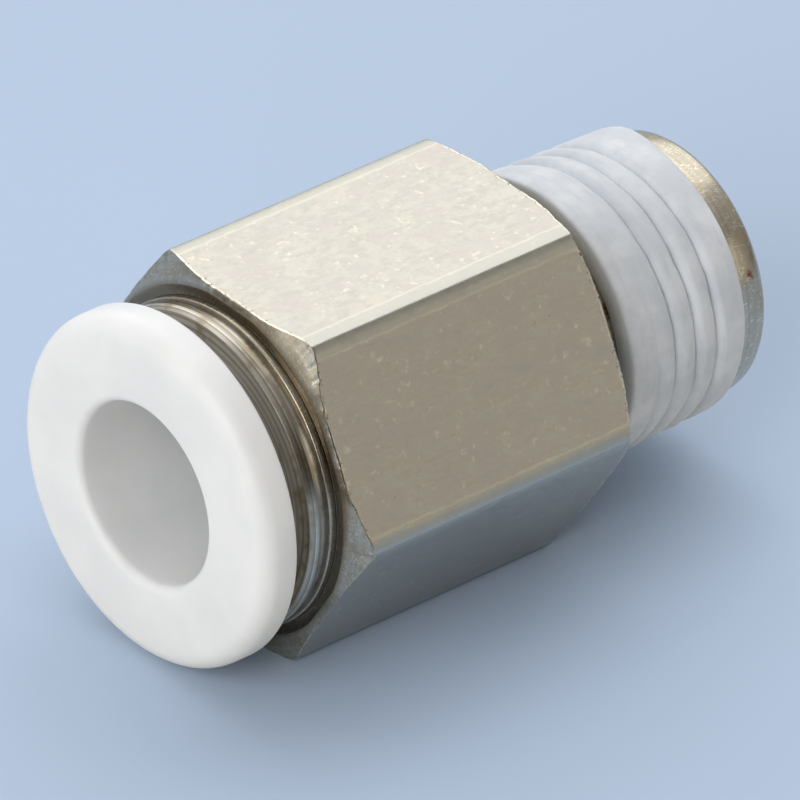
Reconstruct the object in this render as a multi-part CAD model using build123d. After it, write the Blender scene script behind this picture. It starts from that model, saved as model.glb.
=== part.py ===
"""Half union: a straight push-in tube fitting with a tapered male pipe thread.

The fitting's axis is X. The origin is on that axis in the thread's gauge plane, where the
face of the mating female thread comes to lie. The thread points to +X and the tube goes in
from -X. Two flats of the hexagon are level, so the fitting lies on one of them with +Z up.
Everything is in millimetres.
"""
import math
import os

from build123d import *

# Hexagon of the body
hex_across_flats = 12.0
hex_length = 11.5
hex_edge_round = 0.49
hex_chamfer_angle = 26.0
hex_face_diameter = 12.12

# Tapered pipe thread, nominal size 1/8
thread_pitch = 0.907
thread_gauge_diameter = 9.728
thread_gauge_length = 4.0
thread_length = 7.6
thread_depth = 0.581
thread_taper = 1 / 16
thread_crest_flat = 0.13
thread_base_width = 0.75
thread_sunk = 0.1
thread_end_margin = 0.12
thread_start_angle = 47.0
neck_diameter = 8.5
neck_length = 1.0
nose_length = 1.15
nose_base_diameter = 9.2
nose_tip_diameter = 9.0
nose_round = 0.3

# Sealant coat over the thread
coat_over_crest = 0.06
coat_start = 1.4
coat_end_margin = 1.25
coat_groove_depth = 0.2
coat_groove_width = 0.46
coat_groove_root = 0.1
coat_first_band = 0.9
coat_last_band = 0.85
coat_edge_round = 0.05

# Tube and the bores it goes through
tube_diameter = 6.0
tube_play_in_button = 0.15
tube_play_in_body = 0.1
tube_stop_past_shoulder = 1.0
flow_bore_diameter = 4.4
flow_bore_chamfer = 0.3
lead_in_chamfer = 0.3

# Mouth of the body
counterbore_diameter = 10.0
counterbore_depth = 5.2
collar_diameter = 11.0
collar_height = 0.3
seal_pocket_diameter = 8.8
seal_pocket_length = 2.8

# Guide ring pressed into the mouth
guide_flange_diameter = 10.9
guide_flange_thickness = 0.7
guide_front_chamfer_length = 0.3
guide_front_chamfer_depth = 0.12
guide_lip_station = 1.9
guide_pocket_diameter = 8.7
guide_cone_length = 1.2
guide_cone_diameter = 9.5

# Release button
button_flange_diameter = 11.9
button_flange_thickness = 1.35
button_front_round = 1.0
button_back_round = 0.12
button_mouth_round = 0.3
button_sleeve_diameter = 7.7
button_travel = 0.95
button_lip_height = 0.3
button_lip_land = 0.15
button_lip_ramp = 0.45

# Collet
collet_length = 1.95
collet_body_length = 1.2
collet_slots = 6
collet_slot_width = 0.5
collet_slot_length = 1.4

# Chuck: the toothed steel ring that bites the tube
chuck_sheet = 0.3
chuck_rim_inner_diameter = 7.9
chuck_tip_diameter = 5.7
chuck_tooth_reach = 1.0
chuck_teeth = 12
chuck_slot_width = 0.5

# Tube seal
seal_skirt_thickness = 0.25
seal_skirt_length = 0.85
seal_lip_diameter = 5.8
seal_bore_diameter = 6.4
seal_lip_width = 0.5

# Clearances
sliding_clearance = 0.1
stop_clearance = 0.05
seat_clearance = 0.02
teeth_clearance = 0.07
over_cut = 1.0

# Stations along X that follow from the sizes above
thread_end_x = thread_gauge_length
shoulder_x = thread_end_x - thread_length
hex_front_x = shoulder_x - hex_length
collar_front_x = hex_front_x - collar_height
guide_front_x = collar_front_x - guide_flange_thickness
button_back_x = guide_front_x - button_travel - stop_clearance
button_front_x = button_back_x - button_flange_thickness
counterbore_floor_x = collar_front_x + counterbore_depth
seal_pocket_end_x = counterbore_floor_x + seal_pocket_length
tube_stop_x = shoulder_x + tube_stop_past_shoulder
chuck_front_x = counterbore_floor_x - chuck_sheet
collet_back_x = chuck_front_x
collet_step_x = collet_back_x - collet_body_length
collet_front_x = collet_back_x - collet_length
guide_end_x = collet_step_x - sliding_clearance
guide_cone_start_x = guide_end_x - guide_cone_length
guide_lip_x = guide_front_x + guide_lip_station
button_lip_x = guide_lip_x + stop_clearance
coat_start_x = shoulder_x + coat_start
coat_end_x = thread_end_x - coat_end_margin

# Radii that follow from the sizes above
tube_radius = tube_diameter / 2
button_bore_radius = tube_radius + tube_play_in_button / 2
body_bore_radius = tube_radius + tube_play_in_body / 2
button_sleeve_radius = button_sleeve_diameter / 2
button_guide_radius = button_sleeve_radius + sliding_clearance
counterbore_radius = counterbore_diameter / 2
seal_pocket_radius = seal_pocket_diameter / 2


def turned(*corners):
    """Solid of revolution about X from the (station, radius) corners of its half section."""
    return revolve(make_face(Polyline(*corners, close=True)), Axis.X)


def turned_with_rounds(corners, rounds):
    """The same, with the numbered corners rounded to the given radii."""
    face = make_face(Polyline(*corners, close=True))
    for index, radius in rounds.items():
        place = Vector(*corners[index], 0)
        corner = face.vertices().sort_by_distance(place)[0]
        face = face.face().fillet_2d(radius, [corner])
    return revolve(face, Axis.X)


def thread_crest_radius(x):
    """Radius over the crests of the taper thread at station x."""
    return thread_gauge_diameter / 2 - x * thread_taper / 2


def helix_sweep(base_offset, bottom, top, bottom_width, top_width, start_x, end_x):
    """Trapezoid swept along the taper thread, from bottom to top over the given base line."""
    cone = math.degrees(math.atan(thread_taper / 2))
    path = Helix(
        pitch=thread_pitch,
        height=end_x - start_x,
        radius=thread_crest_radius(start_x) + base_offset,
        center=(start_x, 0, 0),
        direction=(1, 0, 0),
        cone_angle=-cone,
    )
    start = path @ 0
    outward = Vector(0, start.Y, start.Z).normalized()
    section_plane = Plane(origin=start, x_dir=outward, z_dir=path % 0)
    corners = [
        (bottom, -bottom_width / 2),
        (bottom, bottom_width / 2),
        (top, top_width / 2),
        (top, -top_width / 2),
    ]
    section = section_plane * make_face(Polyline(*corners, close=True))
    swept = sweep(section, path=path, is_frenet=True)
    start_angle = math.degrees(math.atan2(start.Z, start.Y))
    clocking = thread_start_angle + 360 * start_x / thread_pitch - start_angle
    return swept.rotate(Axis.X, clocking)


def thread_ridge():
    """The thread's ridge, which starts and ends under the sealant."""
    flank = (thread_base_width - thread_crest_flat) / 2 / thread_depth
    sunk_width = thread_base_width + 2 * flank * thread_sunk
    return helix_sweep(
        -thread_depth,
        -thread_sunk,
        thread_depth,
        sunk_width,
        thread_crest_flat,
        coat_start_x + thread_end_margin,
        coat_end_x - thread_end_margin,
    )


def coat_groove():
    """Cutter for the shallow groove that the sealant shows between two crests."""
    flank = (coat_groove_width - coat_groove_root) / 2 / coat_groove_depth
    groove = helix_sweep(
        coat_over_crest,
        -coat_groove_depth,
        thread_sunk,
        coat_groove_root,
        coat_groove_width + 2 * flank * thread_sunk,
        coat_start_x + coat_first_band,
        coat_end_x - coat_last_band,
    )
    return groove.rotate(Axis.X, 180)


def hexagon_bar():
    """The hexagon with rounded long edges and a turned chamfer at each end."""
    outline = RegularPolygon(hex_across_flats / 2, 6, major_radius=False)
    bar = extrude(Plane.YZ * outline, hex_length).translate((hex_front_x, 0, 0))
    bar = fillet(bar.edges().filter_by(Axis.X), hex_edge_round)
    face_radius = hex_face_diameter / 2
    corner_radius = hex_across_flats / math.sqrt(3)
    rise = (corner_radius - face_radius) * math.tan(math.radians(hex_chamfer_angle))
    turned_ends = turned(
        (hex_front_x, 0),
        (hex_front_x, face_radius),
        (hex_front_x + rise, corner_radius),
        (shoulder_x - rise, corner_radius),
        (shoulder_x, face_radius),
        (shoulder_x, 0),
    )
    return bar & turned_ends


def thread_core():
    """Neck, tapered thread root and plain nose of the threaded end, without the ridge."""
    neck_radius = neck_diameter / 2
    neck_end_x = shoulder_x + neck_length
    nose_x = thread_end_x - nose_length
    corners = [
        (hex_front_x + hex_length / 2, 0),
        (hex_front_x + hex_length / 2, neck_radius),
        (neck_end_x, neck_radius),
        (neck_end_x, thread_crest_radius(neck_end_x) - thread_depth),
        (nose_x, thread_crest_radius(nose_x) - thread_depth),
        (nose_x, nose_base_diameter / 2),
        (thread_end_x, nose_tip_diameter / 2),
        (thread_end_x, 0),
    ]
    return turned_with_rounds(corners, {6: nose_round})


def body_bores():
    """Everything bored out of the body, from the counterbore to the flow bore."""
    flow_radius = flow_bore_diameter / 2
    return turned(
        (collar_front_x - over_cut, 0),
        (collar_front_x - over_cut, counterbore_radius),
        (counterbore_floor_x, counterbore_radius),
        (counterbore_floor_x, seal_pocket_radius),
        (seal_pocket_end_x, seal_pocket_radius),
        (seal_pocket_end_x, body_bore_radius + lead_in_chamfer),
        (seal_pocket_end_x + lead_in_chamfer, body_bore_radius),
        (tube_stop_x, body_bore_radius),
        (tube_stop_x, flow_radius),
        (thread_end_x - flow_bore_chamfer, flow_radius),
        (thread_end_x, flow_radius + flow_bore_chamfer),
        (thread_end_x + over_cut, flow_radius + flow_bore_chamfer),
        (thread_end_x + over_cut, 0),
    )


def hex_body():
    """Turned body: hexagon, collar at the mouth, neck, taper thread and stepped bore."""
    collar = turned(
        (collar_front_x, 0),
        (collar_front_x, collar_diameter / 2),
        (hex_front_x + over_cut, collar_diameter / 2),
        (hex_front_x + over_cut, 0),
    )
    return hexagon_bar() + collar + (thread_core() + thread_ridge()) - body_bores()


def thread_sealant(body):
    """White sealant baked over the thread, with a shallow groove over each thread root."""
    start_radius = thread_crest_radius(coat_start_x) + coat_over_crest
    end_radius = thread_crest_radius(coat_end_x) + coat_over_crest
    inner_radius = neck_diameter / 2 - thread_sunk
    corners = [
        (coat_start_x, inner_radius),
        (coat_start_x, start_radius),
        (coat_end_x, end_radius),
        (coat_end_x, inner_radius),
    ]
    sleeve = turned_with_rounds(corners, {1: coat_edge_round, 2: coat_edge_round})
    return sleeve - coat_groove() - body


def guide_ring():
    """Ring pressed into the mouth. It guides the button and its inner cone closes the collet."""
    flange_radius = guide_flange_diameter / 2
    return turned(
        (guide_front_x, button_guide_radius),
        (guide_front_x, flange_radius - guide_front_chamfer_depth),
        (guide_front_x + guide_front_chamfer_length, flange_radius),
        (collar_front_x, flange_radius),
        (collar_front_x, counterbore_radius),
        (guide_end_x, counterbore_radius),
        (guide_end_x, guide_cone_diameter / 2),
        (guide_cone_start_x, guide_pocket_diameter / 2),
        (guide_lip_x, guide_pocket_diameter / 2),
        (guide_lip_x, button_guide_radius),
    )


def tooth_front_x(radius):
    """Station where the mouth side of the chuck's teeth lies at the given radius."""
    rim_radius = chuck_rim_inner_diameter / 2
    fall = rim_radius - chuck_tip_diameter / 2
    return chuck_front_x + (rim_radius - radius) * chuck_tooth_reach / fall


def release_button():
    """Moulded button: a rounded flange to press on and a sleeve that reaches the chuck."""
    flange_radius = button_flange_diameter / 2
    lip_radius = button_sleeve_radius + button_lip_height
    nose_gap = button_travel + teeth_clearance
    land_end_x = button_lip_x + button_lip_land
    corners = [
        (button_front_x, button_bore_radius),
        (button_front_x, flange_radius),
        (button_back_x, flange_radius),
        (button_back_x, button_sleeve_radius),
        (button_lip_x, button_sleeve_radius),
        (button_lip_x, lip_radius),
        (land_end_x, lip_radius),
        (land_end_x + button_lip_ramp, button_sleeve_radius),
        (tooth_front_x(button_sleeve_radius) - nose_gap, button_sleeve_radius),
        (tooth_front_x(button_bore_radius) - nose_gap, button_bore_radius),
    ]
    rounds = {
        0: button_mouth_round,
        1: button_front_round,
        2: button_back_round,
    }
    return turned_with_rounds(corners, rounds)


def collet():
    """Slotted ring between the guide's cone and the chuck. It grips when the tube is pulled."""
    cone_slope = (guide_cone_diameter - guide_pocket_diameter) / 2 / guide_cone_length
    front_radius = (
        guide_pocket_diameter / 2
        + (collet_front_x - guide_cone_start_x) * cone_slope
        - sliding_clearance
    )
    step_radius = guide_cone_diameter / 2 - sliding_clearance
    ring = turned(
        (collet_front_x, button_guide_radius),
        (collet_front_x, front_radius),
        (guide_end_x, step_radius),
        (collet_step_x, step_radius),
        (collet_step_x, counterbore_radius - sliding_clearance),
        (collet_back_x, counterbore_radius - sliding_clearance),
        (collet_back_x, button_guide_radius),
    )
    slot = Box(
        collet_slot_length,
        counterbore_diameter,
        collet_slot_width,
        align=(Align.MIN, Align.MIN, Align.CENTER),
    ).translate((collet_front_x, 0, 0))
    for index in range(collet_slots):
        ring = ring - slot.rotate(Axis.X, index * 360 / collet_slots)
    return ring


def chuck():
    """Pressed steel ring: a flat rim held at its edge, and sprung teeth that lean inwards."""
    rim_radius = chuck_rim_inner_diameter / 2
    tip_radius = chuck_tip_diameter / 2
    tip_x = tooth_front_x(tip_radius)
    ring = turned(
        (chuck_front_x, counterbore_radius - sliding_clearance),
        (chuck_front_x, rim_radius),
        (tip_x, tip_radius),
        (tip_x + chuck_sheet, tip_radius + chuck_sheet / 2),
        (counterbore_floor_x, rim_radius + chuck_sheet / 2),
        (counterbore_floor_x, counterbore_radius - sliding_clearance),
    )
    gap = Box(
        chuck_tooth_reach + 2 * chuck_sheet,
        rim_radius,
        chuck_slot_width,
        align=(Align.MIN, Align.MIN, Align.CENTER),
    ).translate((chuck_front_x, 0, 0))
    for index in range(chuck_teeth):
        ring = ring - gap.rotate(Axis.X, (index + 0.5) * 360 / chuck_teeth)
    return ring


def tube_seal():
    """Rubber seal with a lip on the tube and a skirt that the chuck's rim holds in place."""
    outer_radius = seal_pocket_radius - seat_clearance
    front_x = counterbore_floor_x + seat_clearance
    back_x = seal_pocket_end_x - seat_clearance
    web_x = front_x + seal_skirt_length
    lip_radius = seal_lip_diameter / 2
    bore_radius = seal_bore_diameter / 2
    return turned(
        (front_x, outer_radius),
        (front_x, outer_radius - seal_skirt_thickness),
        (web_x, outer_radius - seal_skirt_thickness),
        (web_x + seal_lip_width / 2, lip_radius),
        (web_x + seal_lip_width, lip_radius),
        (web_x + 2 * seal_lip_width, bore_radius),
        (back_x, bore_radius),
        (back_x, outer_radius),
    )


def main():
    os.makedirs("parts", exist_ok=True)
    body = hex_body()
    pieces = {
        "hex_body": body,
        "thread_sealant": thread_sealant(body),
        "guide_ring": guide_ring(),
        "release_button": release_button(),
        "collet": collet(),
        "chuck": chuck(),
        "tube_seal": tube_seal(),
    }
    for name, piece in pieces.items():
        export_step(piece, f"parts/{name}.step")


main()
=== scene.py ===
"""Looks of a straight push-in tube fitting: plated hexagon body, white button, coated thread.

The fitting's axis is X. The thread points to +X and the tube goes in from -X. Sizes are in
millimetres in each section and become metres in the meshes.
"""
import math

import bmesh
import bpy
from mathutils import Matrix, Vector, noise


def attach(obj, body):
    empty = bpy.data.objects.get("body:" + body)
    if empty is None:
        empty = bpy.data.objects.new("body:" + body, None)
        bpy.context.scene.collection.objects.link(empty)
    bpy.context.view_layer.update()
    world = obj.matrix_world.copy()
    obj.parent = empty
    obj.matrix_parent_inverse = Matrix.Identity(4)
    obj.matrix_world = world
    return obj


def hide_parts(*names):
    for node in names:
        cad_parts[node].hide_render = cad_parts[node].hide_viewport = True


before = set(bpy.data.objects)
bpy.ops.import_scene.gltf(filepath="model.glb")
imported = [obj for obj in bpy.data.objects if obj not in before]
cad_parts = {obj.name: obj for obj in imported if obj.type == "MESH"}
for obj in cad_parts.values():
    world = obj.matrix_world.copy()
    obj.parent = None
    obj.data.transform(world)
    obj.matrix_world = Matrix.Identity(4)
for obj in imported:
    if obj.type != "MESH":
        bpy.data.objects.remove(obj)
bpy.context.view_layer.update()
MM = 0.001


# Body
# A length of hexagonal brass bar, turned at both ends and bored through from the tube's side.
# It is nickel plated all over. The flats keep the drawn bar's dull grain, with light flecks,
# and the turned faces show tool rings. Burrs and chips run along the chamfer's sharp edge, and
# the burrs are painted lighter than the plate as a painted highlight. The rolled long edges carry
# a painted shade band and a painted highlight line. The front face is painted dark round the
# collar as painted shade.
across_flats = 12.0
edge_roll_radius = 1.6
edge_roll = math.radians(14.0)
edge_tip_radius = 0.18
chamfer_angle = math.radians(26.0)
face_radius = 6.06
thread_end = 4.0
shoulder = -3.6
hex_front = -15.1
collar_front = -15.4
collar_radius = 5.5
mouth_radius = 5.0
mouth_floor = -10.2
seal_pocket_radius = 4.4
seal_pocket_end = -7.4
tube_bore_radius = 3.05
tube_stop = -2.6
flow_radius = 2.2
neck_end = -2.6
neck_radius = 4.25
root_start_radius = 4.28
root_end_radius = 4.19
nose_start = 2.85
nose_base_radius = 4.6
nose_tip_radius = 4.5
bore_break = 0.3
edge_break = 0.04
chip_depth = 0.07
chip_crowding = 14
notch_rarity = 0.34
columns_per_flat = 96
columns_per_roll = 5
columns_per_tip = 6
rows_along_flat = 28
rows_over_chamfer = 4
sharp_angle = math.radians(38)


def edge_point(half_flat, reach, turn):
    """Point of the long edge's section where its surface has turned this far from the flat."""
    corner = Vector((math.cos(math.radians(60)), math.sin(math.radians(60))))
    if turn > math.radians(30):
        mirrored = edge_point(half_flat, reach, math.radians(60) - turn)
        along = mirrored.x * corner.x + mirrored.y * corner.y
        across = mirrored.x * corner.y - mirrored.y * corner.x
        return Vector((along, across))
    rolled = min(turn, edge_roll)
    rise = edge_roll_radius * math.sin(rolled)
    fall = edge_roll_radius * (1 - math.cos(rolled))
    if turn > edge_roll:
        rise += edge_tip_radius * (math.sin(turn) - math.sin(edge_roll))
        fall += edge_tip_radius * (math.cos(edge_roll) - math.cos(turn))
    return Vector((half_flat - fall, reach + rise))


def hexagon_columns():
    """Angle, radius and distance in from the long edge of each column, flats level.

    The drawn bar's long edges roll off gently from the flats and then turn over a small tip.
    """
    half_flat = across_flats / 2
    roll_rise = edge_roll_radius * math.sin(edge_roll)
    roll_fall = edge_roll_radius * (1 - math.cos(edge_roll))
    tip_rise = edge_tip_radius * (math.sin(math.radians(30)) - math.sin(edge_roll))
    tip_fall = edge_tip_radius * (math.cos(edge_roll) - math.cos(math.radians(30)))
    reach = math.tan(math.radians(30)) * (half_flat - roll_fall - tip_fall) - roll_rise - tip_rise
    tip_turn = math.radians(60) - 2 * edge_roll
    roll_turns = [edge_roll * step / columns_per_roll for step in range(columns_per_roll)]
    tip_turns = [tip_turn * step / columns_per_tip for step in range(columns_per_tip)]
    turns = roll_turns + [edge_roll + turn for turn in tip_turns]
    turns += [edge_roll + tip_turn + turn for turn in roll_turns]
    columns = []
    for side in range(6):
        facing = math.radians(30 + 60 * side)
        for step in range(columns_per_flat):
            along = reach * (2 * step / columns_per_flat - 1)
            angle = facing + math.atan2(along, half_flat)
            columns.append((angle, math.hypot(half_flat, along), reach - abs(along)))
        for turn in turns:
            point = edge_point(half_flat, reach, turn)
            angle = facing + math.atan2(point.y, point.x)
            past_flat = edge_roll_radius * min(turn, math.radians(60) - turn)
            columns.append((angle, point.length, -past_flat))
    return columns


def round_corners(corners, steps=3):
    """Closed outline from (station, radius, rounding) corners, with a short arc at each corner."""
    outline = []
    count = len(corners)
    for index, (x, r, rounding) in enumerate(corners):
        here = Vector((x, r))
        if rounding <= 0:
            outline.append((x, r))
            continue
        before = Vector(corners[index - 1][:2]) - here
        after = Vector(corners[(index + 1) % count][:2]) - here
        half = before.angle(after) / 2
        back = min(rounding / math.tan(half), before.length * 0.49, after.length * 0.49)
        radius = back * math.tan(half)
        inward = (before.normalized() + after.normalized()).normalized()
        centre = here + inward * radius / math.sin(half)
        first = here + before.normalized() * back - centre
        last = here + after.normalized() * back - centre
        sweep = first.angle_signed(last)
        for step in range(steps + 1):
            turned = first.copy()
            turned.rotate(Matrix.Rotation(-sweep * step / steps, 2))
            outline.append((centre.x + turned.x, centre.y + turned.y))
    return outline


def closed_piece(name, vertices, faces):
    """A piece with this closed skin, its faces turned outwards."""
    mesh = bpy.data.meshes.new(name)
    mesh.from_pydata(vertices, [], faces)
    shape = bmesh.new()
    shape.from_mesh(mesh)
    if shape.calc_volume(signed=True) < 0:
        bmesh.ops.reverse_faces(shape, faces=shape.faces)
    shape.to_mesh(mesh)
    shape.free()
    piece = bpy.data.objects.new(name, mesh)
    bpy.context.scene.collection.objects.link(piece)
    return piece


def ring_mesh(name, columns):
    """Closed skin over columns of (station, radius) points, given as (angle, points) pairs."""
    rows = len(columns[0][1])
    count = len(columns)
    vertices = []
    for angle, points in columns:
        for x, r in points:
            vertices.append((x * MM, r * math.cos(angle) * MM, r * math.sin(angle) * MM))
    faces = []
    for column in range(count):
        following = (column + 1) % count
        for row in range(rows):
            below = (row + 1) % rows
            faces.append((
                column * rows + row,
                column * rows + below,
                following * rows + below,
                following * rows + row,
            ))
    piece = closed_piece(name, vertices, faces)
    piece.data.shade_smooth()
    return piece


def chamfer_edges(angle, radius):
    """Stations where the chamfers meet the bar at this angle, broken back by small chips."""
    rise = max((radius - face_radius) * math.tan(chamfer_angle), edge_break)
    edges = []
    for end in (1, 2):
        place = Vector((math.cos(angle), math.sin(angle), end)) * chip_crowding
        ragged = noise.noise(place * 1.1) * 0.3 + noise.noise(place * 2.6) * 0.35
        notch = max(0.0, noise.noise(place * 1.6 + Vector((3, 1, 7))) - notch_rarity) * 1.8
        edges.append(chip_depth * (ragged + notch))
    return hex_front + rise + edges[0], shoulder - rise - edges[1]


def body_column(angle, radius):
    """The body's whole section at one angle, out along the mouth and back through the bore."""
    front = min(face_radius, radius - edge_break)
    front_edge, back_edge = chamfer_edges(angle, radius)
    points = round_corners([
        (collar_front, mouth_radius, 0.05),
        (collar_front, collar_radius, 0.05),
        (hex_front, collar_radius, 0.02),
        (hex_front, front, 0.03),
    ])
    for step in range(1, rows_over_chamfer):
        share = step / rows_over_chamfer
        points.append((
            hex_front + (front_edge - edge_break / 2 - hex_front) * share,
            front + (radius - edge_break / 3 - front) * share,
        ))
    points.append((front_edge - edge_break / 2, radius - edge_break / 3))
    points.append((front_edge + edge_break / 2, radius))
    points.append((front_edge + edge_break * 2, radius))
    first = front_edge + edge_break * 4
    last = back_edge - edge_break * 4
    for step in range(rows_along_flat + 1):
        points.append((first + (last - first) * step / rows_along_flat, radius))
    points.append((back_edge - edge_break * 2, radius))
    points.append((back_edge - edge_break / 2, radius))
    points.append((back_edge + edge_break / 2, radius - edge_break / 3))
    for step in range(1, rows_over_chamfer):
        share = 1 - step / rows_over_chamfer
        points.append((
            shoulder + (back_edge + edge_break / 2 - shoulder) * share,
            front + (radius - edge_break / 3 - front) * share,
        ))
    points += round_corners([
        (shoulder, front, 0.03),
        (shoulder, neck_radius, 0.1),
        (neck_end, neck_radius, 0.02),
        (neck_end, root_start_radius, 0.01),
        (nose_start, root_end_radius, 0.02),
        (nose_start, nose_base_radius, 0.04),
        (thread_end, nose_tip_radius, 0.32),
        (thread_end, flow_radius + bore_break, 0.05),
        (thread_end - bore_break, flow_radius, 0.05),
        (tube_stop, flow_radius, 0.05),
        (tube_stop, tube_bore_radius, 0.05),
        (seal_pocket_end + bore_break, tube_bore_radius, 0.05),
        (seal_pocket_end, tube_bore_radius + bore_break, 0.05),
        (seal_pocket_end, seal_pocket_radius, 0.05),
        (mouth_floor, seal_pocket_radius, 0.05),
        (mouth_floor, mouth_radius, 0.05),
    ], steps=4)
    return points


edge_columns = hexagon_columns()
body = ring_mesh("plated_body", [
    (angle, body_column(angle, radius)) for angle, radius, _ in edge_columns
])

# How far each point of the flats lies from the chamfer and from the long edge, in millimetres.
from_chamfer = body.data.attributes.new("from_chamfer", "FLOAT", "POINT")
from_long_edge = body.data.attributes.new("from_long_edge", "FLOAT", "POINT")
rows = len(body.data.vertices) // len(edge_columns)
for column, (angle, radius, from_edge) in enumerate(edge_columns):
    front_edge, back_edge = chamfer_edges(angle, radius)
    for point in range(column * rows, column * rows + rows):
        x = body.data.vertices[point].co.x / MM
        from_chamfer.data[point].value = min(x - front_edge, back_edge - x)
        from_long_edge.data[point].value = from_edge


def effect(name, inputs, outputs):
    """A shader node group with the named (name, kind, default) inputs and (name, kind) outputs."""
    group = bpy.data.node_groups.new(name, "ShaderNodeTree")
    for label, kind, default in inputs:
        socket = group.interface.new_socket(label, in_out="INPUT", socket_type=kind)
        if default is not None:
            socket.default_value = default
    for label, kind in outputs:
        group.interface.new_socket(label, in_out="OUTPUT", socket_type=kind)
    return group, group.nodes.new("NodeGroupInput"), group.nodes.new("NodeGroupOutput")


def add(tree, kind, settings=None, **values):
    """A node of this kind. Values go to its input sockets, links where a socket is given."""
    made = tree.nodes.new(kind)
    for name, value in (settings or {}).items():
        setattr(made, name, value)
    for name, value in values.items():
        key = int(name[1:]) if name[0] == "_" else name.replace("_", " ")
        if isinstance(value, bpy.types.NodeSocket):
            tree.links.new(value, made.inputs[key])
        else:
            made.inputs[key].default_value = value
    return made


def calc(tree, operation, *values):
    """The result of a Math node."""
    made = tree.nodes.new("ShaderNodeMath")
    made.operation = operation
    for socket, value in zip(made.inputs, values):
        if isinstance(value, bpy.types.NodeSocket):
            tree.links.new(value, socket)
        else:
            socket.default_value = value
    return made.outputs[0]


def mix(tree, factor, low, high):
    """Colour between low and high by factor."""
    made = add(tree, "ShaderNodeMix", {"data_type": "RGBA"})
    for index, value in ((0, factor), (6, low), (7, high)):
        if isinstance(value, bpy.types.NodeSocket):
            tree.links.new(value, made.inputs[index])
        else:
            made.inputs[index].default_value = value
    return made.outputs[2]


def span(tree, value, low, high, start=0.0, end=1.0):
    """Value mapped from low..high to start..end and kept inside it."""
    made = add(tree, "ShaderNodeMapRange", {"interpolation_type": "SMOOTHSTEP"}, Value=value)
    made.inputs["From Min"].default_value = low
    made.inputs["From Max"].default_value = high
    made.inputs["To Min"].default_value = start
    made.inputs["To Max"].default_value = end
    return made.outputs["Result"]


def material(name):
    """A new material, its tree, its Principled shader and its object coordinates."""
    made = bpy.data.materials.new(name)
    made.use_nodes = True
    tree = made.node_tree
    place = tree.nodes.new("ShaderNodeTexCoord").outputs["Object"]
    return made, tree, tree.nodes["Principled BSDF"], place


def colour(red, green, blue):
    """Linear colour from the 0 to 255 values that it has on a screen."""
    return tuple(((c / 255 + 0.055) / 1.055) ** 2.4 for c in (red, green, blue)) + (1.0,)


# Grain: soft streaks and clouds, finer along an axis as its stretch rises.
grain, ins, outs = effect(
    "grain",
    [("Vector", "NodeSocketVector", None), ("Stretch", "NodeSocketVector", (1, 1, 1)),
     ("Detail", "NodeSocketFloat", 4.0)],
    [("Grain", "NodeSocketFloat")],
)
scaled = add(grain, "ShaderNodeVectorMath", {"operation": "MULTIPLY"},
             _0=ins.outputs["Vector"], _1=ins.outputs["Stretch"])
streaks = add(grain, "ShaderNodeTexNoise", Vector=scaled.outputs[0], Scale=1.0,
              Detail=ins.outputs["Detail"], Roughness=0.6)
grain.links.new(streaks.outputs["Fac"], outs.inputs["Grain"])

# Flecks: small spots with soft edges, fewer and smaller as the threshold rises.
flecks, ins, outs = effect(
    "flecks",
    [("Vector", "NodeSocketVector", None), ("Per Metre", "NodeSocketFloat", 5000.0),
     ("Threshold", "NodeSocketFloat", 0.6), ("Softness", "NodeSocketFloat", 0.08)],
    [("Mask", "NodeSocketFloat")],
)
spots = add(flecks, "ShaderNodeTexNoise", Vector=ins.outputs["Vector"],
            Scale=ins.outputs["Per Metre"], Detail=3.0, Roughness=0.55)
over = calc(flecks, "SUBTRACT", spots.outputs["Fac"], ins.outputs["Threshold"])
share = add(flecks, "ShaderNodeMath", {"operation": "DIVIDE", "use_clamp": True},
            _0=over, _1=ins.outputs["Softness"])
flecks.links.new(share.outputs[0], outs.inputs["Mask"])


def off_axis(tree, place):
    """A point's station along the axis and its distance from the axis."""
    split = add(tree, "ShaderNodeSeparateXYZ", Vector=place)
    y_squared = calc(tree, "MULTIPLY", split.outputs["Y"], split.outputs["Y"])
    z_squared = calc(tree, "MULTIPLY", split.outputs["Z"], split.outputs["Z"])
    return split.outputs["X"], calc(tree, "SQRT", calc(tree, "ADD", y_squared, z_squared))


# Tool rings: fine ridges round the axis that a lathe tool leaves.
tool_rings, ins, outs = effect(
    "tool_rings",
    [("Vector", "NodeSocketVector", None), ("Per Metre", "NodeSocketFloat", 9000.0)],
    [("Height", "NodeSocketFloat")],
)
station, away = off_axis(tool_rings, ins.outputs["Vector"])
section = add(tool_rings, "ShaderNodeCombineXYZ", X=station, Y=away, Z=0.0)
rings = add(tool_rings, "ShaderNodeTexNoise", Vector=section.outputs[0],
            Scale=ins.outputs["Per Metre"], Detail=3.0, Roughness=0.65)
tool_rings.links.new(rings.outputs["Fac"], outs.inputs["Height"])


def use(tree, group, **values):
    """The group placed in a material with its own values."""
    made = add(tree, "ShaderNodeGroup", {"node_tree": group}, **values)
    return made.outputs[0]


def attribute(tree, name):
    """A number that the mesh keeps at each point."""
    return add(tree, "ShaderNodeAttribute", {"attribute_name": name}).outputs["Fac"]


def stain(tree, place, centre, size):
    """A ragged spot of this size, in metres, round one point of the piece."""
    away = add(tree, "ShaderNodeVectorMath", {"operation": "DISTANCE"}, _0=place, _1=centre)
    ragged = use(tree, grain, Vector=place, Stretch=(4000, 4000, 4000), Detail=3.0)
    wander = size * 2.5
    core = size * 0.4
    reach = calc(tree, "MULTIPLY_ADD", calc(tree, "SUBTRACT", ragged, 0.5), wander,
                 away.outputs["Value"])
    return span(tree, reach, core, size, 1.0, 0.0)


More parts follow.
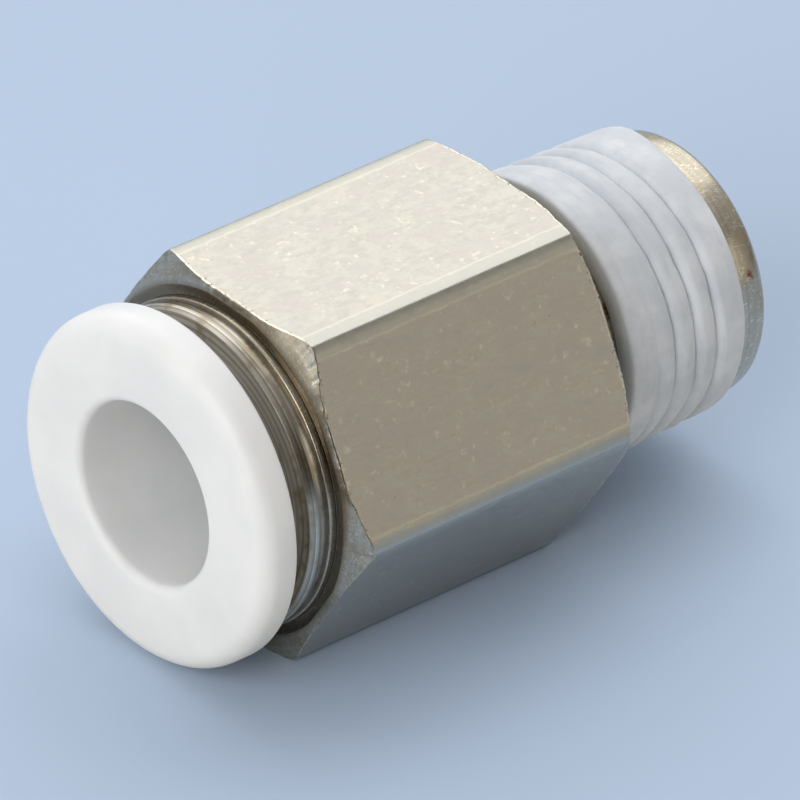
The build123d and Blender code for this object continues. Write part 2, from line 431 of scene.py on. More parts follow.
plated_flats, tree, shader, place = material("plated_flats")
along = use(tree, grain, Vector=place, Stretch=(260, 6500, 6500), Detail=5.0)
cloud = use(tree, grain, Vector=place, Stretch=(900, 900, 900), Detail=4.0)
mottle = use(tree, grain, Vector=place, Stretch=(2300, 3600, 3600), Detail=4.0)
light_spots = use(tree, flecks, Vector=place, Per_Metre=3600.0, Threshold=0.6, Softness=0.14)
pits = use(tree, flecks, Vector=place, Per_Metre=5200.0, Threshold=0.745, Softness=0.02)
scratches = use(tree, grain, Vector=place, Stretch=(900, 12000, 12000), Detail=2.0)
dull = mix(tree, span(tree, mottle, 0.36, 0.64), colour(172, 168, 158), colour(190, 186, 174))
dull = mix(tree, span(tree, along, 0.35, 0.65, 0.0, 0.5), dull, colour(184, 181, 173))
dull = mix(tree, span(tree, cloud, 0.42, 0.62, 0.0, 0.55), dull, colour(178, 172, 167))
dull = mix(tree, calc(tree, "MULTIPLY", light_spots, 0.8), dull, colour(208, 203, 186))
dull = mix(tree, span(tree, scratches, 0.7, 0.74, 0.0, 0.35), dull, colour(150, 142, 130))
dull = mix(tree, pits, dull, colour(132, 122, 104))
mottle_about_zero = calc(tree, "SUBTRACT", mottle, 0.5)
# A real burr along the chamfer's edge, painted lighter than the plate as a painted highlight where
# the edge catches the light.
edge_wander = calc(tree, "MULTIPLY_ADD", mottle_about_zero, 0.16, attribute(tree, "from_chamfer"))
burr_highlight = span(tree, edge_wander, 0.03, 0.07, 1.0, 0.0)
dull = mix(tree, calc(tree, "MULTIPLY", burr_highlight, 0.75), dull, colour(232, 226, 206))
nick = use(tree, flecks, Vector=place, Per_Metre=9000.0, Threshold=0.6, Softness=0.05)
near_chamfer = span(tree, attribute(tree, "from_chamfer"), 0.05, 0.18, 1.0, 0.0)
dull = mix(tree, calc(tree, "MULTIPLY", nick, near_chamfer), dull, colour(96, 88, 74))
# Painted shade and painted highlight on the long edges: a grey band painted over the rolled edge
# for its duller reflection, and a light line painted on the flat just beside it.
edge_band_shade = span(tree, attribute(tree, "from_long_edge"), -0.03, 0.02, 1.0, 0.0)
edge_highlight_wander = calc(tree, "MULTIPLY_ADD", mottle_about_zero, 0.2, attribute(tree, "from_long_edge"))
from_edge_highlight = calc(tree, "ABSOLUTE", calc(tree, "SUBTRACT", edge_highlight_wander, 0.05))
edge_highlight_line = span(tree, from_edge_highlight, 0.02, 0.07, 0.6, 0.0)
# The painted shade band, then the painted highlight line.
dull = mix(tree, calc(tree, "MULTIPLY", edge_band_shade, 0.7), dull, colour(178, 178, 168))
dull = mix(tree, edge_highlight_line, dull, colour(200, 195, 180))
tree.links.new(dull, shader.inputs["Base Color"])
shader.inputs["Metallic"].default_value = 1.0
rough = span(tree, mottle, 0.3, 0.7, 0.28, 0.38)
tree.links.new(rough, shader.inputs["Roughness"])
height = calc(tree, "ADD", along, calc(tree, "MULTIPLY", mottle, 0.5))
bump = add(tree, "ShaderNodeBump", Strength=0.3, Distance=0.00002, Height=height)
tree.links.new(bump.outputs["Normal"], shader.inputs["Normal"])

plated_turned, tree, shader, place = material("plated_turned")
turned_marks = use(tree, tool_rings, Vector=place, Per_Metre=9000.0)
tarnish = use(tree, grain, Vector=place, Stretch=(700, 700, 700), Detail=4.0)
score = use(tree, grain, Vector=place, Stretch=(1500, 5200, 2600), Detail=2.0)
score = calc(tree, "ABSOLUTE", calc(tree, "SUBTRACT", score, 0.5))
plate = mix(tree, span(tree, turned_marks, 0.3, 0.7), colour(168, 160, 142), colour(188, 181, 164))
plate = mix(tree, span(tree, tarnish, 0.45, 0.75), plate, colour(166, 150, 124))
plate = mix(tree, span(tree, score, 0.004, 0.014, 0.7, 0.0), plate, colour(226, 222, 214))
station, from_axis = off_axis(tree, place)
# Painted shade: the hexagon's front face is painted dark round the collar, standing for the shade
# between it and the button's flange.
front_face = (hex_front + 0.02) * MM
front_face_depth = 0.09 * MM
corner_shade_starts = 6.08 * MM
corner_shade_is_full = 5.7 * MM
at_front = calc(tree, "COMPARE", station, front_face, front_face_depth)
near_collar = span(tree, from_axis, corner_shade_is_full, corner_shade_starts, 1.0, 0.0)
painted_corner_shade = calc(tree, "MULTIPLY", at_front, near_collar)
plate = mix(tree, calc(tree, "MULTIPLY", painted_corner_shade, 0.85), plate, colour(104, 92, 76))
neck_stain_place = (-2.1 * MM, -3.53 * MM, 2.38 * MM)
neck_stain_size = 0.35 * MM
neck_stain = stain(tree, place, neck_stain_place, neck_stain_size)
plate = mix(tree, neck_stain, plate, colour(122, 78, 50))
nose_stain_place = (3.40 * MM, -4.16 * MM, 1.94 * MM)
nose_stain_size = 0.22 * MM
nose_stain = stain(tree, place, nose_stain_place, nose_stain_size)
plate = mix(tree, nose_stain, plate, colour(132, 88, 58))
tree.links.new(plate, shader.inputs["Base Color"])
shader.inputs["Metallic"].default_value = 1.0
tree.links.new(span(tree, tarnish, 0.3, 0.7, 0.22, 0.32), shader.inputs["Roughness"])
bump = add(tree, "ShaderNodeBump", Strength=0.3, Distance=0.00001, Height=turned_marks)
tree.links.new(bump.outputs["Normal"], shader.inputs["Normal"])

body.data.materials.append(plated_turned)
body.data.materials.append(plated_flats)
inside_the_flats = 5.9
level_with_axis = 0.95
for face in body.data.polygons:
    on_bar = hex_front * MM < face.center.x < shoulder * MM
    faces_out = math.hypot(face.normal.y, face.normal.z) > level_with_axis
    is_outside = math.hypot(face.center.y, face.center.z) > inside_the_flats * MM
    if on_bar and faces_out and is_outside:
        face.material_index = 1
body.data.set_sharp_from_angle(angle=sharp_angle)
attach(body, "fitting")
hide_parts("hex_body")


# Thread
# A helix along the root of the 1/8 taper pipe thread, in the same plated brass. Its profile is
# turned inwards, so it lies in the metal and under the sealant, is shallower than the real
# thread and never shows. The part's solid has the full thread.
pitch = 0.907
ridge_start = -2.08
ridge_end = 2.63
gauge_radius = 4.864
thread_taper = 1 / 32
thread_depth = 0.581
ridge_height = 0.55
ridge_base = 0.75
ridge_crest = 0.16
ridge_sunk = 0.1
crest_angle_at_gauge = math.radians(47.0)


def growing_tree(name, sizes):
    """A Geometry Nodes tree with these named (label, kind, value) inputs."""
    tree = bpy.data.node_groups.new(name, "GeometryNodeTree")
    tree.interface.new_socket("Geometry", in_out="INPUT", socket_type="NodeSocketGeometry")
    for label, kind, value in sizes:
        socket = tree.interface.new_socket(label, in_out="INPUT", socket_type=kind)
        socket.default_value = value
    tree.interface.new_socket("Geometry", in_out="OUTPUT", socket_type="NodeSocketGeometry")
    return tree, tree.nodes.new("NodeGroupInput").outputs


def close_tree(tree, geometry, finish):
    """The tree's end: real geometry, smooth, in its material."""
    real = add(tree, "GeometryNodeRealizeInstances", Geometry=geometry)
    smooth = add(tree, "GeometryNodeSetShadeSmooth", Geometry=real.outputs[0])
    painted = add(tree, "GeometryNodeSetMaterial", Geometry=smooth.outputs[0], Material=finish)
    output = tree.nodes.new("NodeGroupOutput")
    tree.links.new(painted.outputs[0], output.inputs[0])


def grow(piece, tree, **sizes):
    """Run the tree on the piece with its own sizes and keep the result as a plain mesh."""
    modifier = piece.modifiers.new(tree.name, "NODES")
    modifier.node_group = tree
    for item in tree.interface.items_tree:
        label = item.name.replace(" ", "_")
        if item.in_out == "INPUT" and label in sizes:
            modifier[item.identifier] = sizes[label]
    ready = piece.evaluated_get(bpy.context.evaluated_depsgraph_get())
    piece.data = bpy.data.meshes.new_from_object(ready)
    piece.modifiers.remove(modifier)
    return piece


number = "NodeSocketFloat"
tree, size = growing_tree("helical_ridge", [
    ("Turns", number, 5.0), ("Length", number, 0.004), ("Start Radius", number, 0.005),
    ("End Radius", number, 0.005), ("Start Angle", number, 0.0), ("Start Station", number, 0.0),
    ("Height", number, 0.0005), ("Sunk", number, 0.0001), ("Base", number, 0.0007),
    ("Crest", number, 0.0001),
])
helix = add(tree, "GeometryNodeCurveSpiral", Resolution=72, Rotations=size["Turns"],
            Start_Radius=size["Start Radius"], End_Radius=size["End Radius"],
            Height=size["Length"])
upright = add(tree, "GeometryNodeSetCurveNormal", {"mode": "Z_UP"}, Curve=helix.outputs[0])
full_height = calc(tree, "ADD", size["Height"], size["Sunk"])
profile = add(tree, "GeometryNodeCurvePrimitiveQuadrilateral", {"mode": "TRAPEZOID"},
              Height=full_height, Bottom_Width=size["Base"], Top_Width=size["Crest"], Offset=0.0)
middle = calc(tree, "SUBTRACT", calc(tree, "MULTIPLY", full_height, 0.5), size["Sunk"])
lift = add(tree, "ShaderNodeCombineXYZ", X=middle)
laid_over = add(tree, "GeometryNodeTransform", Geometry=profile.outputs[0],
                Translation=lift.outputs[0], Rotation=(0, 0, math.radians(-90)))
ridge = add(tree, "GeometryNodeCurveToMesh", Curve=upright.outputs[0],
            Profile_Curve=laid_over.outputs[0], Fill_Caps=True)
lying = add(tree, "GeometryNodeTransform", Geometry=ridge.outputs[0],
            Rotation=(math.radians(90), 0, math.radians(90)))
station = add(tree, "ShaderNodeCombineXYZ", X=size["Start Station"])
clocking = add(tree, "ShaderNodeCombineXYZ", X=size["Start Angle"])
placed = add(tree, "GeometryNodeTransform", Geometry=lying.outputs[0],
             Translation=station.outputs[0], Rotation=clocking.outputs[0])
close_tree(tree, placed.outputs[0], plated_turned)

root_at_gauge = gauge_radius - thread_depth
thread = bpy.data.objects.new("thread_ridge", bpy.data.meshes.new("thread_ridge"))
bpy.context.scene.collection.objects.link(thread)
grow(
    thread, tree,
    Turns=(ridge_end - ridge_start) / pitch,
    Length=(ridge_end - ridge_start) * MM,
    Start_Radius=(root_at_gauge - ridge_start * thread_taper) * MM,
    End_Radius=(root_at_gauge - ridge_end * thread_taper) * MM,
    Start_Angle=crest_angle_at_gauge + 2 * math.pi * ridge_start / pitch,
    Start_Station=ridge_start * MM,
    Height=ridge_height * MM,
    Sunk=ridge_sunk * MM,
    Base=ridge_base * MM,
    Crest=ridge_crest * MM,
)
thread.data.set_sharp_from_angle(angle=sharp_angle)
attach(thread, "fitting")
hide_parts("hex_body")


# Sealant
# A white sealing coat, brushed over the taper thread at the factory and baked on. It half
# fills the thread, so soft ridges and narrow grooves show, and its ends are plain bands.
coat_start = -2.2
coat_end = 2.78
coat_radius_at_gauge = 4.924
coat_inner_radius = 4.18
groove_at_zero_angle = -1.481
coat_edge_start = 0.18
coat_edge_end = 0.12
coat_start_fall = 0.6
coat_start_waver = 0.05
coat_end_waver = 0.04
run_length = 0.55
run_angle = 60
run_width = 25
coat_columns = 480
coat_rows = 150


def coat_column(angle):
    """The plain coat's section at one angle: over the outside and back along the thread.

    Both ends waver, and on one side the coat has run further along the nose.
    """
    round_the_end = Vector((math.cos(angle) * 2, math.sin(angle) * 2, 4.0))
    start = coat_start + noise.noise(round_the_end) * coat_start_waver
    waver = noise.noise(round_the_end + Vector((0, 0, 5))) * coat_end_waver
    from_run = (math.degrees(angle) - run_angle) / run_width
    end = coat_end + waver + run_length * math.exp(-from_run * from_run)
    points = [(start, coat_inner_radius)]
    for step in range(coat_rows + 1):
        x = start + (end - start) * step / coat_rows
        fall = 0.0
        if x - start < coat_edge_start:
            left = coat_edge_start - (x - start)
            arc = coat_edge_start - math.sqrt(coat_edge_start ** 2 - left ** 2)
            fall = coat_start_fall * arc
        if end - x < coat_edge_end:
            left = coat_edge_end - (end - x)
            fall = coat_edge_end - math.sqrt(max(0.0, coat_edge_end ** 2 - left ** 2))
        points.append((x, coat_radius_at_gauge - x * thread_taper - fall))
    points.append((end, coat_inner_radius))
    return points


sealant = ring_mesh("sealant_coat", [
    (2 * math.pi * step / coat_columns, coat_column(2 * math.pi * step / coat_columns))
    for step in range(coat_columns)
])

baked_coat, tree, shader, place = material("baked_coat")
patches = use(tree, grain, Vector=place, Stretch=(600, 600, 600), Detail=4.0)
brushed = use(tree, grain, Vector=place, Stretch=(2600, 500, 500), Detail=3.0)
specks = use(tree, flecks, Vector=place, Per_Metre=1900.0, Threshold=0.76, Softness=0.05)
white = mix(tree, span(tree, patches, 0.35, 0.7), colour(214, 219, 226), colour(232, 236, 241))
white = mix(tree, span(tree, brushed, 0.5, 0.75, 0.0, 0.5), white, colour(204, 209, 215))
white = mix(tree, calc(tree, "MULTIPLY", specks, 0.6), white, colour(168, 172, 172))
tree.links.new(white, shader.inputs["Base Color"])
shader.inputs["Roughness"].default_value = 0.6
bump = add(tree, "ShaderNodeBump", Strength=0.2, Distance=0.00003, Height=brushed)
tree.links.new(bump.outputs["Normal"], shader.inputs["Normal"])

# The thread shows through the coat: along the helix the coat sinks to a narrow groove, rises
# steeply on the tip's side of it and falls back slowly.
tree, size = growing_tree("coat_over_thread", [
    ("Pitch", number, 0.0009), ("First Groove", number, -0.0015), ("Sink", number, 0.0001),
    ("Groove Depth", number, 0.00005), ("Groove Width", number, 0.00006),
    ("Steep Share", number, 0.3), ("Roundness", number, 1.6), ("Sway", number, 0.00016),
    ("Fade Start", number, -0.0013), ("Fade Length", number, 0.0009),
    ("Fade End", number, 0.002), ("Last Fade", number, 0.0003),
    ("Outside Radius", number, 0.0044), ("Lumps", number, 0.00002),
])
point = tree.nodes.new("GeometryNodeInputPosition").outputs[0]
apart = add(tree, "ShaderNodeSeparateXYZ", Vector=point)
around = calc(tree, "ARCTAN2", apart.outputs["Z"], apart.outputs["Y"])
turn = calc(tree, "DIVIDE", around, 2 * math.pi)

# Which turn of the thread the point lies on, and how far it is from one groove to the next.
sway = add(tree, "ShaderNodeTexNoise", Vector=point, Scale=420.0, Detail=2.0).outputs[0]
sway = calc(tree, "MULTIPLY", calc(tree, "SUBTRACT", sway, 0.5), size["Sway"])
swayed = calc(tree, "ADD", apart.outputs["X"], sway)
beyond = calc(tree, "SUBTRACT", swayed, size["First Groove"])
line = calc(tree, "SUBTRACT", calc(tree, "DIVIDE", beyond, size["Pitch"]), turn)
share = calc(tree, "FRACT", line)
share_left = calc(tree, "SUBTRACT", 1.0, share)

# The coat's sag beside the groove, and the narrow groove itself.
steep = calc(tree, "LESS_THAN", share, size["Steep Share"])
gentle = calc(tree, "SUBTRACT", 1.0, steep)
up_steep = calc(tree, "SUBTRACT", 1.0, calc(tree, "DIVIDE", share, size["Steep Share"]))
past_steep = calc(tree, "SUBTRACT", share, size["Steep Share"])
gentle_share = calc(tree, "SUBTRACT", 1.0, size["Steep Share"])
down_slow = calc(tree, "DIVIDE", past_steep, gentle_share)
sag = add(tree, "ShaderNodeMix", {"data_type": "FLOAT"}, _0=steep, _2=down_slow, _3=up_steep)
sag = calc(tree, "POWER", calc(tree, "MAXIMUM", sag.outputs[0], 0.0), size["Roundness"])
sag = calc(tree, "MULTIPLY", sag, size["Sink"])
to_groove = calc(tree, "MULTIPLY", calc(tree, "MINIMUM", share, share_left), size["Pitch"])
widths = calc(tree, "POWER", calc(tree, "DIVIDE", to_groove, size["Groove Width"]), 2.0)
bell = calc(tree, "EXPONENT", calc(tree, "MULTIPLY", widths, -1.0))
narrow = calc(tree, "MULTIPLY", bell, size["Groove Depth"])

# Both fade out towards the coat's ends and vary a little on the way.
nearest = calc(tree, "ADD", calc(tree, "FLOOR", line), gentle)
groove_turns = calc(tree, "MULTIPLY", calc(tree, "ADD", nearest, turn), size["Pitch"])
groove_at = calc(tree, "ADD", groove_turns, size["First Groove"])
past_start = calc(tree, "SUBTRACT", groove_at, size["Fade Start"])
before_end = calc(tree, "SUBTRACT", size["Fade End"], groove_at)
fade_in = calc(tree, "DIVIDE", past_start, size["Fade Length"])
fade_out = calc(tree, "DIVIDE", before_end, size["Last Fade"])
fade = calc(tree, "MULTIPLY", span(tree, fade_in, 0.0, 1.0), span(tree, fade_out, 0.0, 1.0))
uneven = add(tree, "ShaderNodeTexNoise", Vector=point, Scale=500.0, Detail=2.0).outputs[0]
uneven = calc(tree, "ADD", 0.6, calc(tree, "MULTIPLY", uneven, 0.8))
fade = calc(tree, "MULTIPLY", fade, uneven)
depth = calc(tree, "MULTIPLY", calc(tree, "ADD", sag, narrow), fade)

# Only the outside moves, towards the axis, with small lumps left by the brush.
lumps = add(tree, "ShaderNodeTexNoise", Vector=point, Scale=1300.0, Detail=3.0).outputs[0]
lumps = calc(tree, "MULTIPLY", calc(tree, "SUBTRACT", lumps, 0.75), size["Lumps"])
radial = add(tree, "ShaderNodeCombineXYZ", X=0.0, Y=apart.outputs["Y"], Z=apart.outputs["Z"])
away = add(tree, "ShaderNodeVectorMath", {"operation": "LENGTH"}, _0=radial.outputs[0])
outside = calc(tree, "GREATER_THAN", away.outputs["Value"], size["Outside Radius"])
change = calc(tree, "MULTIPLY", calc(tree, "SUBTRACT", lumps, depth), outside)
outwards = add(tree, "ShaderNodeVectorMath", {"operation": "NORMALIZE"}, _0=radial.outputs[0])
move = add(tree, "ShaderNodeVectorMath", {"operation": "SCALE"},
           _0=outwards.outputs[0], Scale=change)
sunk_coat = add(tree, "GeometryNodeSetPosition", Geometry=size["Geometry"],
                Offset=move.outputs[0])
close_tree(tree, sunk_coat.outputs[0], baked_coat)
grow(
    sealant, tree,
    Pitch=pitch * MM,
    First_Groove=groove_at_zero_angle * MM,
    Sink=0.20 * MM,
    Groove_Depth=0.08 * MM,
    Groove_Width=0.065 * MM,
    Steep_Share=0.3,
    Roundness=1.6,
    Sway=0.16 * MM,
    Fade_Start=-1.3 * MM,
    Fade_Length=0.8 * MM,
    Fade_End=2.0 * MM,
    Last_Fade=0.3 * MM,
    Outside_Radius=4.4 * MM,
    Lumps=0.03 * MM,
)
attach(sealant, "fitting")
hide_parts("thread_sealant")


# Guide ring
# A turned brass ring, nickel plated, pressed into the body's mouth until its flange meets the
# collar. It guides the button's sleeve, and its inner cone closes the collet on the tube.
ring_columns = 256
guide_front = -16.1
guide_flange_radius = 5.45
guide_bore_radius = 3.95
guide_lip = -14.2
guide_pocket_radius = 4.35
guide_cone_start = -13.0
guide_end = -11.8
guide_cone_radius = 4.75
guide_bevel_length = 0.3
guide_bevel_depth = 0.12


def turned_piece(name, corners, columns=ring_columns, steps=3):
    """A piece turned about the axis from (station, radius, rounding) corners."""
    outline = round_corners(corners, steps)
    return ring_mesh(name, [(2 * math.pi * step / columns, outline) for step in range(columns)])


guide = turned_piece("guide_collar", [
    (guide_front, guide_bore_radius, 0.05),
    (guide_front, guide_flange_radius - guide_bevel_depth, 0.03),
    (guide_front + guide_bevel_length, guide_flange_radius, 0.04),
    (collar_front, guide_flange_radius, 0.03),
    (collar_front, mouth_radius, 0.01),
    (guide_end, mouth_radius, 0.05),
    (guide_end, guide_cone_radius, 0.05),
    (guide_cone_start, guide_pocket_radius, 0.1),
    (guide_lip, guide_pocket_radius, 0.02),
    (guide_lip, guide_bore_radius, 0.02),
])
guide_plate, tree, shader, place = material("guide_plate")
ring_marks = use(tree, tool_rings, Vector=place, Per_Metre=14000.0)
ring_tarnish = use(tree, grain, Vector=place, Stretch=(900, 900, 900), Detail=3.0)
plate = mix(tree, span(tree, ring_marks, 0.35, 0.65), colour(150, 142, 126), colour(212, 207, 198))
plate = mix(tree, span(tree, ring_tarnish, 0.5, 0.75), plate, colour(150, 138, 116))
tree.links.new(plate, shader.inputs["Base Color"])
shader.inputs["Metallic"].default_value = 1.0
shader.inputs["Roughness"].default_value = 0.27
bump = add(tree, "ShaderNodeBump", Strength=0.4, Distance=0.00001, Height=ring_marks)
tree.links.new(bump.outputs["Normal"], shader.inputs["Normal"])
guide.data.materials.append(guide_plate)
guide.data.set_sharp_from_angle(angle=sharp_angle)
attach(guide, "fitting")
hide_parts("guide_ring")


# Release button
# A one-piece white acetal moulding. Its rounded flange is pushed in to let the tube go, and
# its sleeve runs in the guide ring. The plastic is satin and lets a little light through.
button_front = -18.45
button_back = -17.1
button_radius = 5.95
button_bore_radius = 3.075
sleeve_radius = 3.85
lip_height = 0.3
lip_front = -14.15
lip_back = -14.0
lip_ramp_end = -13.55
sleeve_end = -11.42
bore_end = -10.725

button = turned_piece("push_button", [
    (button_front, button_bore_radius, 0.3),
    (button_front, button_radius, 1.0),
    (button_back, button_radius, 0.12),
    (button_back, sleeve_radius, 0.1),
    (lip_front, sleeve_radius, 0.02),
    (lip_front, sleeve_radius + lip_height, 0.03),
    (lip_back, sleeve_radius + lip_height, 0.03),
    (lip_ramp_end, sleeve_radius, 0.05),
    (sleeve_end, sleeve_radius, 0.05),
    (bore_end, button_bore_radius, 0.05),
], steps=10)
acetal, tree, shader, place = material("acetal")
haze = use(tree, grain, Vector=place, Stretch=(260, 260, 260), Detail=3.0)
skin = use(tree, grain, Vector=place, Stretch=(3000, 3000, 3000), Detail=2.0)
white = mix(tree, span(tree, haze, 0.35, 0.7), colour(238, 239, 240), colour(245, 246, 246))
tree.links.new(white, shader.inputs["Base Color"])
shader.inputs["Roughness"].default_value = 0.38
shader.inputs["Subsurface Weight"].default_value = 0.6
shader.inputs["Subsurface Radius"].default_value = (1.0, 0.95, 0.9)
shader.inputs["Subsurface Scale"].default_value = 0.0006
bump = add(tree, "ShaderNodeBump", Strength=0.08, Distance=0.00002, Height=skin)
tree.links.new(bump.outputs["Normal"], shader.inputs["Normal"])
button.data.materials.append(acetal)
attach(button, "button")
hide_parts("release_button")


# Tube seal
# A moulded nitrile ring in the body's seal pocket. Its thin skirt is held by the chuck's rim
# and its rounded lip closes on the tube.
seal_front = -10.18
seal_back = -7.42
seal_radius = 4.38
skirt_bore_radius = 4.13
skirt_end = -9.33
seal_lip_radius = 2.9
seal_lip_front = -9.08
seal_lip_back = -8.83
seal_waist_start = -8.33
seal_waist_radius = 3.2
inner_columns = 144

seal = turned_piece("lip_seal", [
    (seal_front, seal_radius, 0.03),
    (seal_front, skirt_bore_radius, 0.03),
    (skirt_end, skirt_bore_radius, 0.12),
    (seal_lip_front, seal_lip_radius, 0.1),
    (seal_lip_back, seal_lip_radius, 0.1),
    (seal_waist_start, seal_waist_radius, 0.1),
    (seal_back, seal_waist_radius, 0.08),
    (seal_back, seal_radius, 0.08),
], columns=inner_columns)
rubber, tree, shader, place = material("nitrile_rubber")
bloom = use(tree, grain, Vector=place, Stretch=(1500, 1500, 1500), Detail=4.0)
black = mix(tree, bloom, colour(24, 24, 25), colour(44, 44, 46))
tree.links.new(black, shader.inputs["Base Color"])
shader.inputs["Roughness"].default_value = 0.55
seal.data.materials.append(rubber)
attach(seal, "fitting")
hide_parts("tube_seal")


# Chuck
# A ring pressed from thin stainless strip. Its flat rim lies on the counterbore's floor, and
# its slotted teeth lean inwards and bite the tube.
chuck_teeth = 12
tooth_slot = 0.5
rim_front = -10.5
rim_back = -10.2
rim_radius = 4.9
rim_bore_radius = 3.95
rim_inner_edge = 4.1
tooth_front_radius = 4.0
tooth_back_radius = 4.15
bend_front = -10.45
bend_front_radius = 3.9
bend_back = -10.15
bend_back_radius = 4.05
bite_front = -9.5
bite_radius = 2.85
bite_back = -9.2
bite_back_radius = 3.0

strip_steel, tree, shader, place = material("strip_steel")
rolled = use(tree, grain, Vector=place, Stretch=(4000, 4000, 800), Detail=4.0)
steel = mix(tree, rolled, colour(150, 150, 150), colour(196, 196, 194))
tree.links.new(steel, shader.inputs["Base Color"])
shader.inputs["Metallic"].default_value = 1.0
tree.links.new(span(tree, rolled, 0.3, 0.7, 0.24, 0.36), shader.inputs["Roughness"])


def sector(name, outline, pitch_angle, gap, steps=8):
    """A closed piece of a ring, turned over one share of the circle less a straight gap."""
    vertices = []
    count = len(outline)
    for step in range(steps + 1):
        for x, r in outline:
            half_angle = pitch_angle / 2 - math.asin(gap / 2 / r)
            angle = half_angle * (2 * step / steps - 1)
            vertices.append((x * MM, r * math.cos(angle) * MM, r * math.sin(angle) * MM))
    faces = [tuple(range(count)), tuple(range(steps * count, (steps + 1) * count))[::-1]]
    for step in range(steps):
        for index in range(count):
            following = (index + 1) % count
            near = step * count
            far = near + count
            faces.append((near + following, near + index, far + index, far + following))
    return closed_piece(name, vertices, faces)


def round_the_axis(name, finish):
    """A tree that repeats a piece round the fitting's axis, evenly."""
    tree, size = growing_tree(name, [
        ("Count", "NodeSocketInt", 6), ("First Angle", number, 0.0),
    ])
    points = add(tree, "GeometryNodePoints", Count=size["Count"])
    index = tree.nodes.new("GeometryNodeInputIndex").outputs[0]
    angle_apart = calc(tree, "DIVIDE", 2 * math.pi, size["Count"])
    angle = calc(tree, "MULTIPLY_ADD", index, angle_apart, size["First Angle"])
    turned = add(tree, "ShaderNodeCombineXYZ", X=angle)
    copies = add(tree, "GeometryNodeInstanceOnPoints", Points=points.outputs[0],
                 Instance=size["Geometry"], Rotation=turned.outputs[0])
    close_tree(tree, copies.outputs[0], finish)
    return tree


tooth = round_corners([
    (rim_front, tooth_front_radius, 0),
    (bend_front, bend_front_radius, 0.1),
    (bite_front, bite_radius, 0.04),
    (bite_back, bite_back_radius, 0.04),
    (bend_back, bend_back_radius, 0.1),
    (rim_back, tooth_back_radius, 0),
])
teeth = sector("chuck_teeth", tooth, 2 * math.pi / chuck_teeth, tooth_slot)
teeth_tree = round_the_axis("teeth_round_the_ring", strip_steel)
grow(teeth, teeth_tree, Count=chuck_teeth, First_Angle=0.0)
rim = turned_piece("chuck_rim", [
    (rim_front, rim_bore_radius, 0.02),
    (rim_front, rim_radius, 0.04),
    (rim_back, rim_radius, 0.04),
    (rim_back, rim_inner_edge, 0.02),
], columns=inner_columns)
rim.data.materials.append(strip_steel)
for piece in (rim, teeth):
    piece.data.set_sharp_from_angle(angle=sharp_angle)
    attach(piece, "fitting")
    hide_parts("chuck")


# Collet
# A moulded plastic ring behind the guide ring's cone. Slots from its front make six fingers
# that close on the tube when it is pulled.
collet_fingers = 6
finger_slot = 0.5
first_finger = math.radians(30.0)
collet_front = -12.45
collet_front_radius = 4.433
collet_cone_end = -11.8
collet_cone_radius = 4.65
collet_step = -11.7
collet_slot_end = -11.03
collet_back = -10.5
collet_radius = 4.9
collet_bore_radius = 3.95

collet_plastic, tree, shader, place = material("collet_plastic")
moulded = use(tree, grain, Vector=place, Stretch=(900, 900, 900), Detail=3.0)
cream = mix(tree, moulded, colour(214, 208, 190), colour(226, 221, 205))
tree.links.new(cream, shader.inputs["Base Color"])
shader.inputs["Roughness"].default_value = 0.45

finger = round_corners([
    (collet_front, collet_bore_radius, 0.05),
    (collet_front, collet_front_radius, 0.05),
    (collet_cone_end, collet_cone_radius, 0),
    (collet_step, collet_cone_radius, 0.02),
    (collet_step, collet_radius, 0.05),
    (collet_slot_end, collet_radius, 0),
    (collet_slot_end, collet_bore_radius, 0),
])
fingers = sector("collet_fingers", finger, 2 * math.pi / collet_fingers, finger_slot, steps=16)
finger_tree = round_the_axis("fingers_round_the_ring", collet_plastic)
grow(fingers, finger_tree, Count=collet_fingers, First_Angle=first_finger)
hoop_overlap = 0.02
hoop_front = collet_slot_end - hoop_overlap
hoop = turned_piece("collet_hoop", [
    (hoop_front, collet_bore_radius, 0.02),
    (hoop_front, collet_radius, 0.02),
    (collet_back, collet_radius, 0.05),
    (collet_back, collet_bore_radius, 0.05),
], columns=inner_columns)
hoop.data.materials.append(collet_plastic)
for piece in (hoop, fingers):
    piece.data.set_sharp_from_angle(angle=sharp_angle)
    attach(piece, "fitting")
    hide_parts("collet")


# Floor
# A plain pale blue sheet under the fitting, which lies on one of its flats. The photograph's
# background has this colour. Light that the sheet scatters onto the fitting is made neutral.
floor_size = 4000.0
floor_mesh = bpy.data.meshes.new("floor")
half = floor_size / 2 * MM
level = -across_flats / 2 * MM
floor_mesh.from_pydata(
    [(-half, -half, level), (half, -half, level), (half, half, level), (-half, half, level)],
    [],
    [(0, 1, 2, 3)],
)
floor = bpy.data.objects.new("floor", floor_mesh)
bpy.context.scene.collection.objects.link(floor)
sheet, tree, shader, place = material("pale_blue_sheet")
rays = tree.nodes.new("ShaderNodeLightPath").outputs
seen = calc(tree, "MAXIMUM", rays["Is Camera Ray"], rays["Is Glossy Ray"])
seen = calc(tree, "MAXIMUM", seen, rays["Is Transmission Ray"])
tint = mix(tree, seen, colour(206, 206, 204), colour(189, 207, 231))
tree.links.new(tint, shader.inputs["Base Color"])
shader.inputs["Roughness"].default_value = 1.0
shader.inputs["Specular IOR Level"].default_value = 0.0
floor.data.materials.append(sheet)


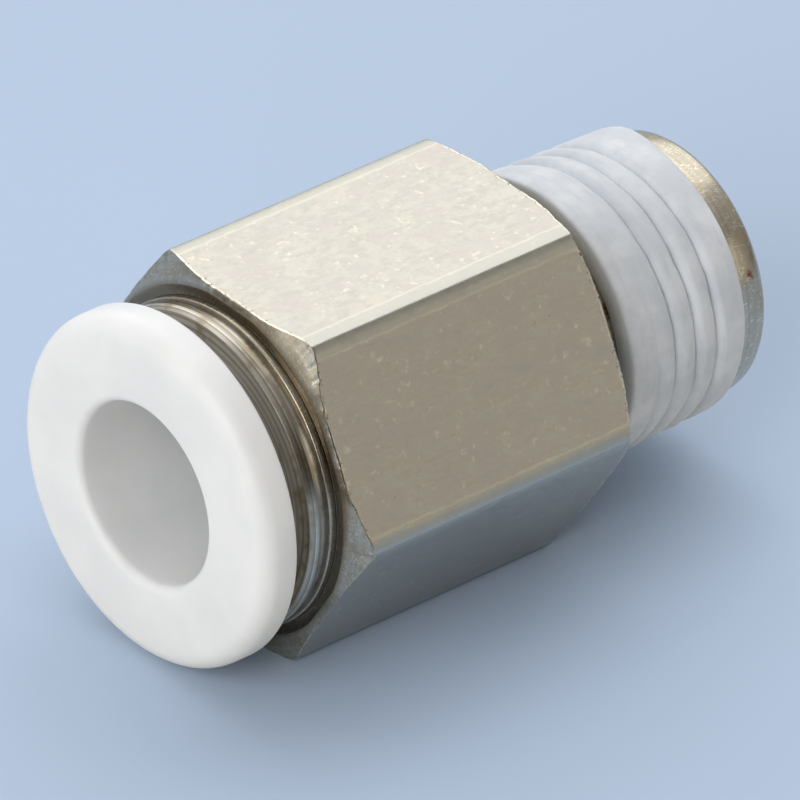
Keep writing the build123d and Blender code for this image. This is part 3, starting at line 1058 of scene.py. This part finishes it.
# Light
# A sky that is bright towards a window above and behind and dim below, and four soft boxes: a
# large one on the window's side, two round the button and a weak warm one low on the near side.
target = Vector((-9.35, 0, 0)) * MM
window_way = (0.35, 0.60, 0.72)
sky_below = (0.08, 0.065, 0.045, 1)
sky_at_window = (0.64, 0.64, 0.64, 1)
box_distance = 0.40
world = bpy.data.worlds.new("studio")
bpy.context.scene.world = world
world.use_nodes = True
tree = world.node_tree
sky = tree.nodes["Background"]
toward_window = add(tree, "ShaderNodeVectorMath", {"operation": "DOT_PRODUCT"},
                    _0=tree.nodes.new("ShaderNodeTexCoord").outputs["Generated"],
                    _1=window_way)
open_sky = span(tree, toward_window.outputs["Value"], -0.3, 0.9)
tree.links.new(mix(tree, open_sky, sky_below, sky_at_window), sky.inputs["Color"])
sky.inputs["Strength"].default_value = 1.0


def soft_box(name, toward, size, radiance, tint=(1.0, 1.0, 1.0)):
    """A square lamp of this size, in metres, and radiance that faces the fitting."""
    lamp = bpy.data.lights.new(name, "AREA")
    lamp.shape = "SQUARE"
    lamp.size = size
    lamp.energy = radiance * math.pi * size ** 2
    lamp.color = tint
    holder = bpy.data.objects.new(name, lamp)
    direction = Vector(toward).normalized()
    holder.location = target + direction * box_distance
    holder.rotation_euler = direction.to_track_quat("Z", "Y").to_euler()
    bpy.context.scene.collection.objects.link(holder)


soft_box("top_box", (0.44, 0.48, 0.72), size=0.50, radiance=1.20)
soft_box("side_box", (-0.84, -0.26, 0.44), size=0.30, radiance=3.2)
soft_box("left_box", (-0.97, 0.26, 0.13), size=0.18, radiance=1.0)
soft_box("low_box", (0.57, -0.78, 0.27), size=0.20, radiance=0.66, tint=(1.0, 0.93, 0.80))


# Camera
# The photograph's view, from above on the button's side. Its angles, distance and shift come
# from fitting the part's outline to the photograph's, in degrees, millimetres and pixels.
azimuth = math.radians(-43.277)
elevation = math.radians(33.726)
roll = math.radians(3.702)
distance = 440.0
pixels_per_mm = 31.635
shift_right = -1.256
shift_up = 0.046
picture_width = 800
sensor_width = 36.0

back = Vector((
    math.sin(azimuth) * math.cos(elevation),
    -math.cos(azimuth) * math.cos(elevation),
    math.sin(elevation),
))
right = Vector((math.cos(azimuth), math.sin(azimuth), 0))
up = back.cross(right)
rolled_right = math.cos(roll) * right + math.sin(roll) * up
rolled_up = -math.sin(roll) * right + math.cos(roll) * up
camera_data = bpy.data.cameras.new("camera")
camera_data.sensor_width = sensor_width
camera_data.lens = pixels_per_mm * distance / picture_width * sensor_width
camera_data.clip_start = 0.01
camera_data.clip_end = 20.0
camera = bpy.data.objects.new("camera", camera_data)
facing = Matrix((rolled_right, rolled_up, back)).transposed()
camera.matrix_world = facing.to_4x4()
from_target = distance * back - shift_right * rolled_right - shift_up * rolled_up
camera.location = target + from_target * MM
bpy.context.scene.collection.objects.link(camera)
bpy.context.scene.camera = camera
bpy.context.scene.view_settings.view_transform = "Standard"
